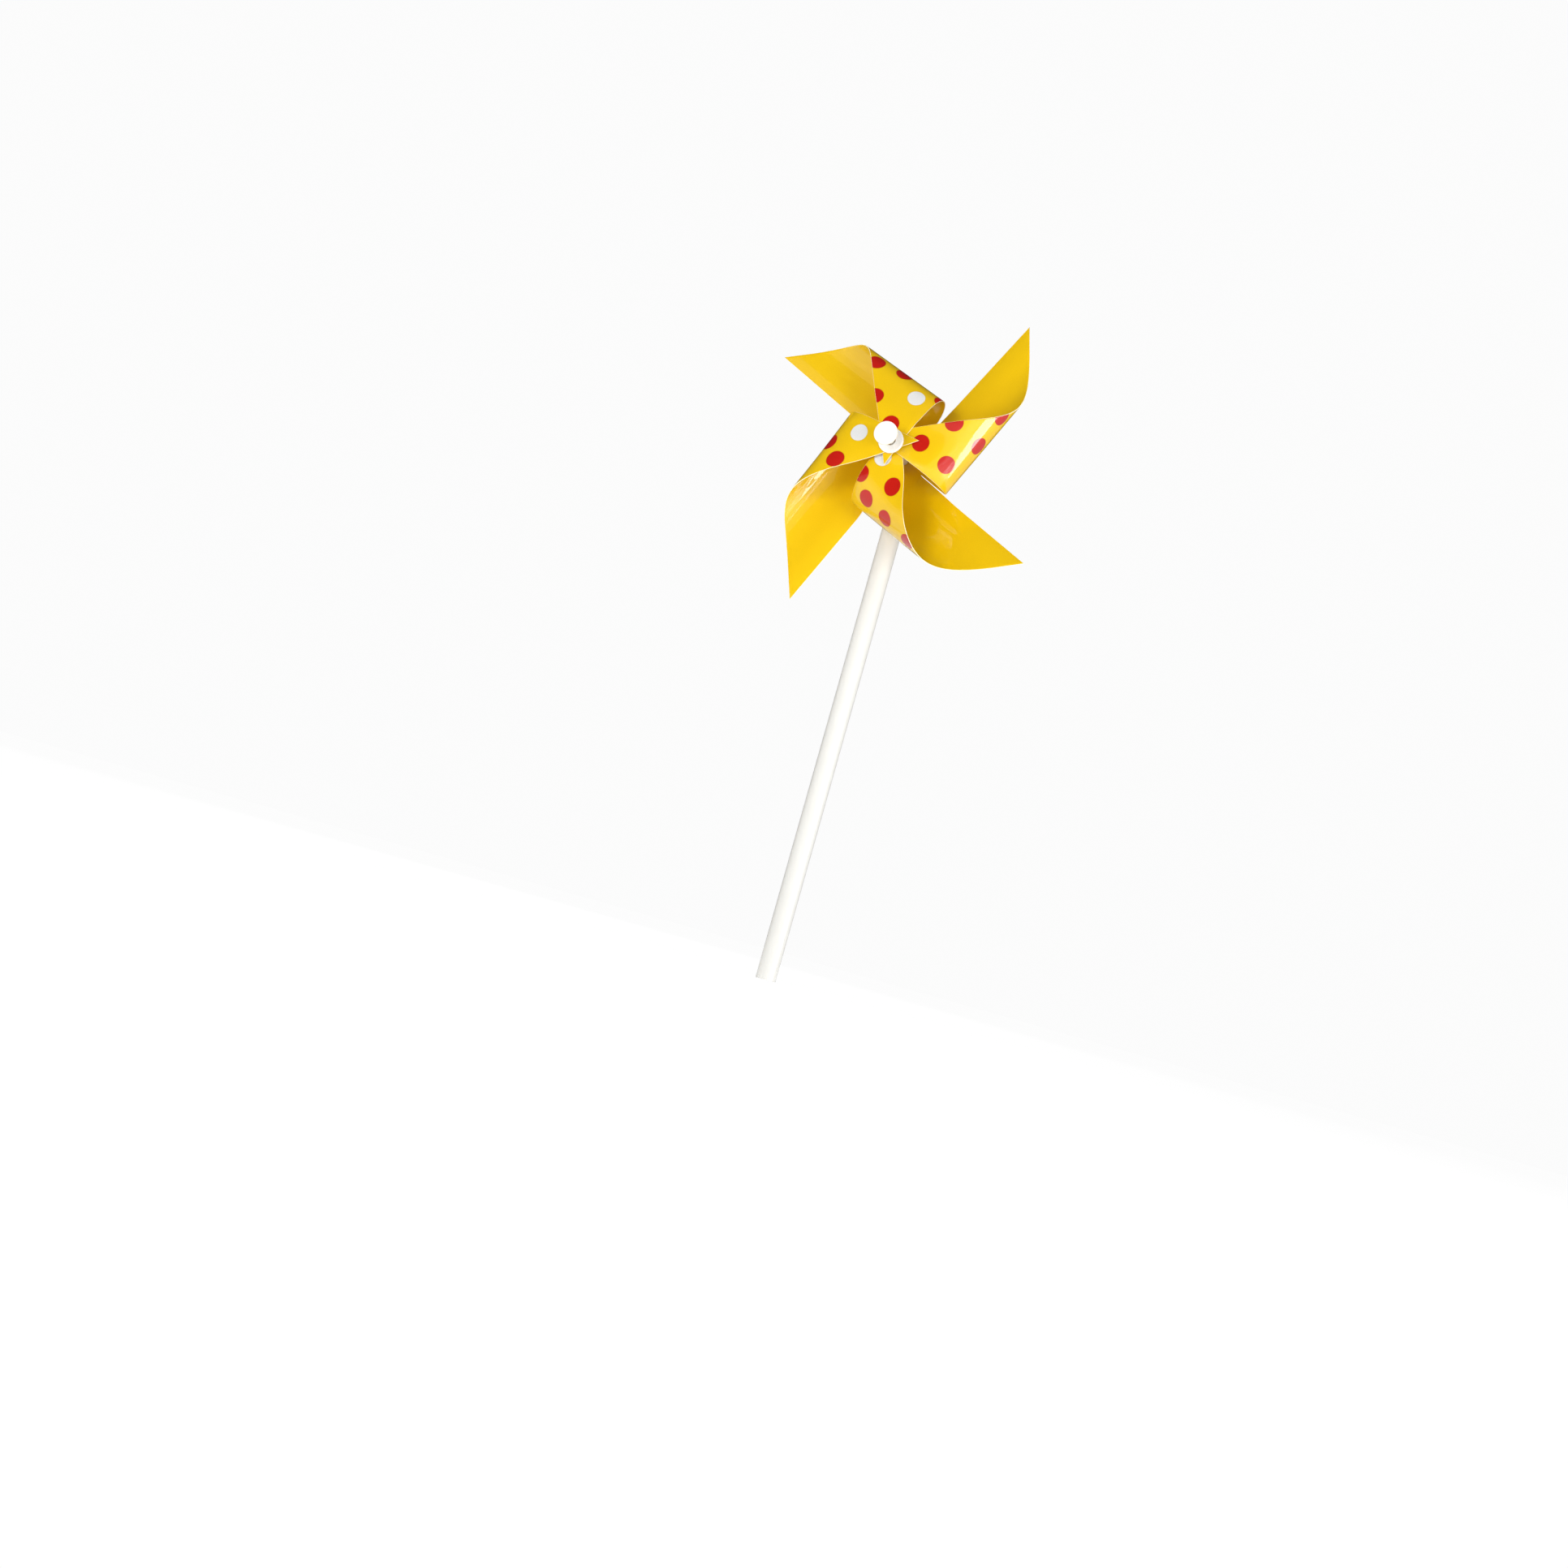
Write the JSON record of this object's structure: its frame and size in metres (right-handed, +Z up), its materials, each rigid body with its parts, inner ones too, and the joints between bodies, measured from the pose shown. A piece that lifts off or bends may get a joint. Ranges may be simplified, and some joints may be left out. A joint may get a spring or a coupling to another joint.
{
  "type": "pinwheel",
  "caption": "Toy pinwheel: one curled card wheel turning on a headed pin that crosses the top of a tube stick.",
  "frame": {"origin": "centre of the stick's bottom end", "axes": "+Z up the stick, the axle runs along Y and the wheel faces -Y, X is to the right seen from the front"},
  "size_m": [0.1219, 0.0481, 0.2715],
  "materials": {
    "printed_card": "glossy laminated print: plain yellow front, yellow back with red and white dots, pale cut edges",
    "white_moulding": "moulded, semi-gloss",
    "white_tube": "extruded tube, satin"
  },
  "bodies": {
    "stick": {"stick_tube": "white_tube", "axle_pin": "white_moulding", "lock_cap": "white_moulding"},
    "spacer": {"rear_spacer": "white_moulding"},
    "wheel": {"pinwheel_sheet": "printed_card"},
    "washer": {"front_washer": "white_moulding"}
  },
  "joints": [
    {"name": "wheel_float", "type": "slide", "parent": "stick", "child": "spacer", "axis": [0, -1, 0], "range_m": [0, 0.0065]},
    {"name": "wheel_spin", "type": "hinge", "parent": "spacer", "child": "wheel", "pos_m": [0, -0.008, 0.21], "axis": [0, -1, 0], "continuous": true},
    {"name": "washer_spin", "type": "hinge", "parent": "wheel", "child": "washer", "pos_m": [0, -0.031, 0.21], "axis": [0, -1, 0], "continuous": true}
  ]
}
